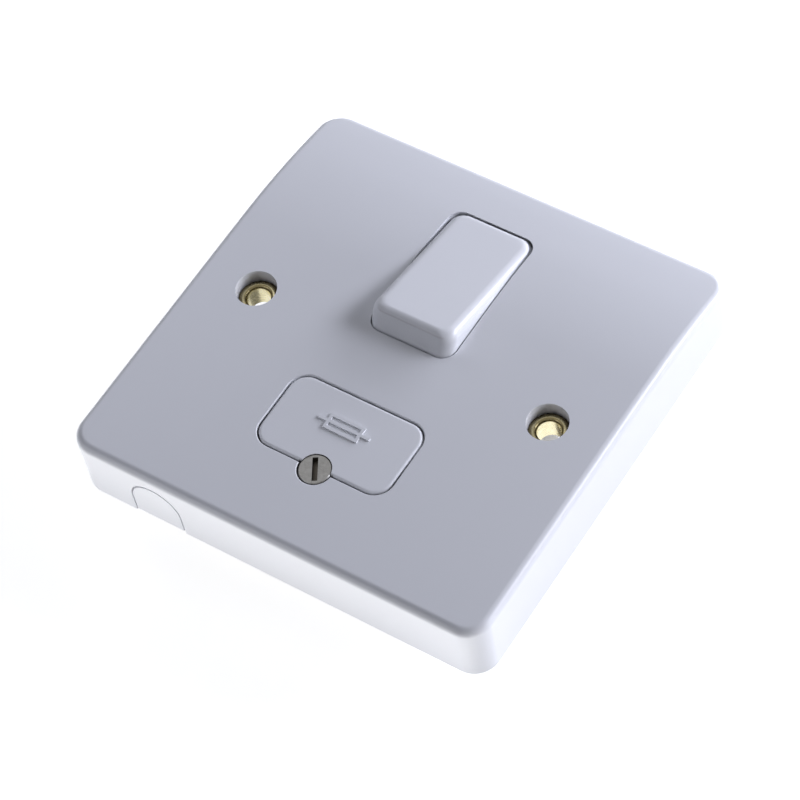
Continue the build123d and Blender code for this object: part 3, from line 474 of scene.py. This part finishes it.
# Witness line: a fine raised line across each end, just under the rounded edge, where the mould's halves met.
# Below it painted shade darkens each end towards the opening.
pivot = (0, 0.017036, 0.0084)
rest_tilt = radians(-11.5)
line_z = 0.00575
line_half = 0.00022
line_height = 0.00004
line_reach = 0.0072
line_fade = 0.001
end_low = 0.002
end_high = 0.0052
end_shade = 0.05
place = add(tree, "ShaderNodeTexCoord", {}).outputs["Object"]
upright = add(tree, "ShaderNodeMapping", {
    "Vector": place,
    "Location": pivot,
    "Rotation": (rest_tilt, 0, 0),
}, vector_type="TEXTURE")
axes = add(tree, "ShaderNodeSeparateXYZ", {"Vector": upright.outputs[0]})
above = add(tree, "ShaderNodeMath", {0: axes.outputs["Z"], 1: line_z}, operation="SUBTRACT")
away = add(tree, "ShaderNodeMath", {0: above.outputs[0]}, operation="ABSOLUTE")
crest = add(tree, "ShaderNodeMapRange", {
    "Value": away.outputs[0],
    "From Min": 0.0,
    "From Max": line_half,
    "To Min": 1.0,
    "To Max": 0.0,
})
side = add(tree, "ShaderNodeMath", {0: axes.outputs["X"]}, operation="ABSOLUTE")
ends = add(tree, "ShaderNodeMapRange", {
    "Value": side.outputs[0],
    "From Min": line_reach - line_fade,
    "From Max": line_reach,
    "To Min": 1.0,
    "To Max": 0.0,
})
line = add(tree, "ShaderNodeMath", {0: crest.outputs[0], 1: ends.outputs[0]}, operation="MULTIPLY")
plain = tree.nodes["shader"].inputs["Base Color"].links[0].from_socket
lined = add(tree, "ShaderNodeMix", {0: line.outputs[0], 6: plain, 7: linear("d2d1d4")}, data_type="RGBA")
# Painted shade: the ends darken low down, towards the opening.
low = add(tree, "ShaderNodeMapRange", {
    "Value": axes.outputs["Z"],
    "From Min": end_low,
    "From Max": end_high,
    "To Min": end_shade,
    "To Max": 0.0,
})
painted_shade_amount = add(tree, "ShaderNodeMath", {0: low.outputs[0], 1: ends.outputs[0]}, operation="MULTIPLY")
with_painted_shade = add(tree, "ShaderNodeMix", {
    0: painted_shade_amount.outputs[0],
    6: lined.outputs[2],
    7: linear("9c9794"),
}, data_type="RGBA")
tree.links.new(with_painted_shade.outputs[2], tree.nodes["shader"].inputs["Base Color"])
raised = add(tree, "ShaderNodeBump", {
    "Height": line.outputs[0],
    "Strength": 1.0,
    "Distance": line_height,
    "Normal": tree.nodes["skin"].outputs[0],
})
tree.links.new(raised.outputs[0], tree.nodes["shader"].inputs["Normal"])
dress(rocker_white, "rocker")


# Fuse carrier: a flush cover with the fuse's cradle behind it, moulded in white urea with a raised fuse
# symbol. A captive screw at its lower edge holds it to the base.
carrier_white = white.copy()
carrier_white.name = "white_urea_carrier_moulded"
tree = carrier_white.node_tree
tree.nodes["tint"].inputs[6].default_value = linear("e9eaed")
tree.nodes["tint"].inputs[7].default_value = linear("ebecef")
tree.nodes["sheen"].inputs["To Min"].default_value = 0.34
tree.nodes["sheen"].inputs["To Max"].default_value = 0.38

# Rim shade: a soft, patchy line of painted shade round the lower half of the carrier's edge, where it sits in
# the gap.
rim_top = 0.0133
rim_top_fade = 0.0003
rim_low = 0.0122
rim_low_fade = 0.0007
rim_y = -0.0225
rim_y_fade = 0.006
rim_shade = 0.85
place = add(tree, "ShaderNodeTexCoord", {}).outputs["Object"]
axes = add(tree, "ShaderNodeSeparateXYZ", {"Vector": place})
under = add(tree, "ShaderNodeMapRange", {
    "Value": axes.outputs["Z"],
    "From Min": rim_top - rim_top_fade,
    "From Max": rim_top,
    "To Min": rim_shade,
    "To Max": 0.0,
})
above = add(tree, "ShaderNodeMapRange", {
    "Value": axes.outputs["Z"],
    "From Min": rim_low,
    "From Max": rim_low + rim_low_fade,
})
lower = add(tree, "ShaderNodeMapRange", {
    "Value": axes.outputs["Y"],
    "From Min": rim_y,
    "From Max": rim_y + rim_y_fade,
    "To Min": 1.0,
    "To Max": 0.0,
})
shade_noise = add(tree, "ShaderNodeTexNoise", {"Vector": place, "Scale": 1000 / 1.4, "Detail": 4.0})
patchy = add(tree, "ShaderNodeMapRange", {
    "Value": shade_noise.outputs[0],
    "From Min": 0.25,
    "From Max": 0.6,
    "To Min": 0.5,
})
band = add(tree, "ShaderNodeMath", {0: under.outputs[0], 1: above.outputs[0]}, operation="MULTIPLY")
patches = add(tree, "ShaderNodeMath", {0: band.outputs[0], 1: patchy.outputs[0]}, operation="MULTIPLY")
painted_shade_amount = add(tree, "ShaderNodeMath", {0: patches.outputs[0], 1: lower.outputs[0]}, operation="MULTIPLY")
plain = tree.nodes["shader"].inputs["Base Color"].links[0].from_socket
# Painted shade on the carrier's lower edge, where it sits in the gap.
with_painted_shade = add(tree, "ShaderNodeMix", {0: painted_shade_amount.outputs[0], 6: plain, 7: linear("3b3936")}, data_type="RGBA")
tree.links.new(with_painted_shade.outputs[2], tree.nodes["shader"].inputs["Base Color"])
dress(carrier_white, "fuse_carrier")

# Worn nickel: grey and dull from use, with screwdriver scratches across the head and brown dirt in the slot.
head_top = 0.01325
dirt_full = head_top - 0.0006
dirt_end = head_top - 0.0002
worn_nickel, tree = blank("nickel_plated_screw_worn")
place = add(tree, "ShaderNodeTexCoord", {}).outputs["Object"]
dull = add(tree, "ShaderNodeTexNoise", {
    "Vector": place,
    "Scale": 1000 / 0.5,
    "Detail": 7.0,
    "Roughness": 0.65,
})
tint = add(tree, "ShaderNodeMix", {
    0: dull.outputs[0],
    6: linear("5f5e5b"),
    7: linear("939290"),
}, data_type="RGBA")
height = add(tree, "ShaderNodeSeparateXYZ", {"Vector": place})
depth = add(tree, "ShaderNodeMapRange", {
    "Value": height.outputs["Z"],
    "From Min": dirt_full,
    "From Max": dirt_end,
})
dirt = add(tree, "ShaderNodeMix", {
    0: depth.outputs[0],
    6: linear("48443f"),
    7: tint.outputs[2],
}, data_type="RGBA")
turned = add(tree, "ShaderNodeMapping", {
    "Vector": place,
    "Rotation": (0, 0, radians(31)),
    "Scale": (1000 / 3, 1000 / 0.12, 1000 / 3),
})
scratch = add(tree, "ShaderNodeTexNoise", {"Vector": turned.outputs[0], "Scale": 1.0, "Detail": 4.0})
sheen = add(tree, "ShaderNodeMapRange", {"Value": scratch.outputs[0], "To Min": 0.3, "To Max": 0.55})
score = add(tree, "ShaderNodeBump", {"Height": scratch.outputs[0], "Strength": 0.4, "Distance": 0.00003})
shader = add(tree, "ShaderNodeBsdfPrincipled", {
    "Base Color": dirt.outputs[2],
    "Metallic": 1.0,
    "Roughness": sheen.outputs[0],
    "Normal": score.outputs[0],
})
add(tree, "ShaderNodeOutputMaterial", {"Surface": shader.outputs[0]})
dress(worn_nickel, "carrier_screw")


# Floor: a sheet of white card under the unit, which lies on its base. It reads as plain white to the eye
# and keeps the unit's soft shadow.
card_size = 3.0
card_gap = 0.00002
card = bmesh.new()
bmesh.ops.create_grid(card, x_segments=1, y_segments=1, size=card_size / 2)
bmesh.ops.translate(card, verts=card.verts, vec=(0, 0, cad_box[0].z - card_gap))
card_mesh = bpy.data.meshes.new("floor")
card.to_mesh(card_mesh)
card.free()
floor = bpy.data.objects.new("floor", card_mesh)
bpy.context.collection.objects.link(floor)

# White card: an even matt white that glows to the eye and to what reflects it, while its glow lights nothing.
card_glow = 0.78
card_white, tree = blank("white_card_matt")
matt = add(tree, "ShaderNodeBsdfDiffuse", {"Color": linear("f4f4f4")})
path = add(tree, "ShaderNodeLightPath", {})
mirrored = add(tree, "ShaderNodeMath", {
    0: path.outputs["Is Camera Ray"],
    1: path.outputs["Is Glossy Ray"],
}, operation="MAXIMUM")
seen = add(tree, "ShaderNodeMath", {
    0: mirrored.outputs[0],
    1: path.outputs["Is Transmission Ray"],
}, operation="MAXIMUM")
level = add(tree, "ShaderNodeMath", {0: seen.outputs[0], 1: card_glow}, operation="MULTIPLY")
glow = add(tree, "ShaderNodeEmission", {"Color": linear("ffffff"), "Strength": level.outputs[0]})
card_face = add(tree, "ShaderNodeAddShader", {0: matt.outputs[0], 1: glow.outputs[0]})
add(tree, "ShaderNodeOutputMaterial", {"Surface": card_face.outputs[0]})
card_mesh.materials.append(card_white)


# Studio light: a soft key at the unit's right with a second towards its upper edge, a wide low lamp behind
# that edge, weaker lamps at the right, left and front, and two flat panels on the card, which light the lower
# and left walls from below. The room looks white.


def soft_lamp(name, place, aim, width, height, watts, hex_colour):
    """A rectangular soft lamp at a place, turned towards a point."""
    data = bpy.data.lights.new(name, "AREA")
    data.shape = "RECTANGLE"
    data.size = width
    data.size_y = height
    data.energy = watts
    data.color = linear(hex_colour)[:3]
    lamp = bpy.data.objects.new(name, data)
    turn = (Vector(place) - Vector(aim)).to_track_quat("Z", "Y")
    lamp.matrix_world = Matrix.LocRotScale(Vector(place), turn, None)
    lamp.visible_camera = False
    bpy.context.collection.objects.link(lamp)


unit_middle = (0, 0, 0.01)
soft_lamp("key", (0.49, 0.32, 0.28), unit_middle, 0.25, 0.2, 2.33, "edf0ff")
soft_lamp("key upper", (0.39, 0.47, 0.22), unit_middle, 0.25, 0.2, 1.11, "edf0ff")
soft_lamp("back low", (0.20, 0.62, 0.11), unit_middle, 0.5, 0.25, 2.65, "edf0ff")
soft_lamp("right low", (0.60, 0.05, 0.09), unit_middle, 0.5, 0.12, 0.5, "fafaff")
soft_lamp("left", (-0.28, 0.12, 0.22), unit_middle, 0.2, 0.2, 0.223, "edf0ff")
soft_lamp("front", (-0.35, -0.50, 0.30), unit_middle, 0.4, 0.3, 0.88, "edf0ff")
panel_out = 0.0865
panel_z = cad_box[0].z + 0.001
soft_lamp("panel lower", (0, -panel_out, panel_z), (0, -panel_out, 1), 0.25, 0.075, 0.0861, "ffffff")
soft_lamp("panel left", (-panel_out, 0, panel_z), (-panel_out, 0, 1), 0.075, 0.25, 0.0292, "ffffff")

room = bpy.data.worlds.new("white room")
room.use_nodes = True
bpy.context.scene.world = room
tree = room.node_tree
tree.nodes.clear()
path = add(tree, "ShaderNodeLightPath", {})
mirrored = add(tree, "ShaderNodeMath", {
    0: path.outputs["Is Camera Ray"],
    1: path.outputs["Is Glossy Ray"],
}, operation="MAXIMUM")
seen = add(tree, "ShaderNodeMath", {
    0: mirrored.outputs[0],
    1: path.outputs["Is Transmission Ray"],
}, operation="MAXIMUM")
fill = add(tree, "ShaderNodeBackground", {"Color": linear("dfe5f4"), "Strength": 0.01})
walls = add(tree, "ShaderNodeBackground", {"Color": linear("ffffff"), "Strength": 1.0})
mixed = add(tree, "ShaderNodeMixShader", {0: seen.outputs[0], 1: fill.outputs[0], 2: walls.outputs[0]})
add(tree, "ShaderNodeOutputWorld", {"Surface": mixed.outputs[0]})


# Camera: a long lens above the unit's lower right corner, tipped a little to the left.
camera_data = bpy.data.cameras.new("camera")
camera_data.sensor_width = 36.0
camera_data.lens = 147.89
camera_data.clip_start = 0.05
camera = bpy.data.objects.new("camera", camera_data)
camera_place = Vector((0.225652, -0.238653, 0.47619))
camera_right = (0.8339, 0.5364, -0.1296)
camera_up = (-0.3885, 0.7374, 0.5525)
camera_back = (0.3919, -0.4104, 0.8234)
camera_turn = Matrix((camera_right, camera_up, camera_back)).transposed().to_quaternion()
camera.matrix_world = Matrix.LocRotScale(camera_place, camera_turn, None)
bpy.context.collection.objects.link(camera)
bpy.context.scene.camera = camera
bpy.context.scene.view_settings.view_transform = "Standard"
